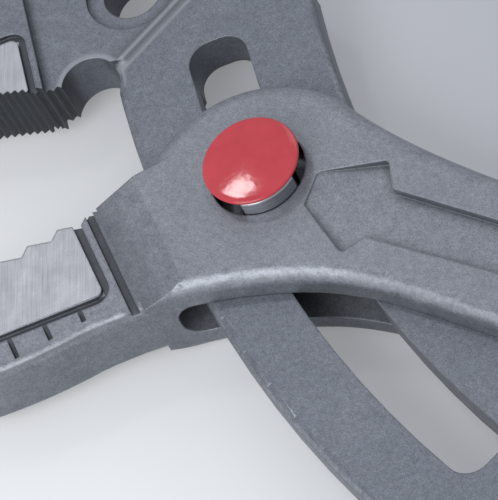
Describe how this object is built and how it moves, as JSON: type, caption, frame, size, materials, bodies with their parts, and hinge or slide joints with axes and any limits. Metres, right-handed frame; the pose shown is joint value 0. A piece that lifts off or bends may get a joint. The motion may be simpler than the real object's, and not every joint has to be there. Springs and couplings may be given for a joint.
{
  "type": "water pump pliers",
  "caption": "Push-button water pump pliers with a box joint, curved slot, toothed jaws and dipped grips.",
  "frame": {"origin": "on the hinge bolt's axis, at the rear face of the box joint, on which the tool lies flat", "axes": "+Z towards the push button, +X to the jaws, +Y to the side of the slotted handle's grip"},
  "size_m": [0.3084, 0.1354, 0.0168],
  "materials": {
    "forged_steel": "forged, phosphated blue-grey steel with worn edges",
    "bright_steel": "turned bright steel",
    "red_button": "glossy red lacquer, slightly orange-peeled",
    "dipped_grip": "soft red dipped plastic, satin"
  },
  "bodies": {
    "box_side": {"box_handle": "forged_steel", "box_grip": "dipped_grip", "rear_cover": "bright_steel"},
    "carriage": {"spring_seat": "bright_steel", "return_spring": "bright_steel"},
    "slotted_side": {"slotted_handle": "forged_steel", "slotted_grip": "dipped_grip"},
    "button": {"hinge_bolt": "bright_steel", "button_cap": "red_button"}
  },
  "joints": [
    {"name": "jaw_pivot", "type": "hinge", "parent": "box_side", "child": "carriage", "pos_m": [0, 0, 0], "axis": [0, 0, 1], "range_deg": [-16, 14]},
    {"name": "adjust", "type": "hinge", "parent": "carriage", "child": "slotted_side", "pos_m": [-0.07025, -0.12168, 0], "axis": [0, 0, -1], "range_deg": [-4, 17.1]},
    {"name": "button_press", "type": "slide", "parent": "carriage", "child": "button", "axis": [0, 0, -1], "range_m": [0, 0.0022], "stiffness_N_per_m": 1200, "springref_m": -0.002, "deforming": ["return_spring"]}
  ]
}
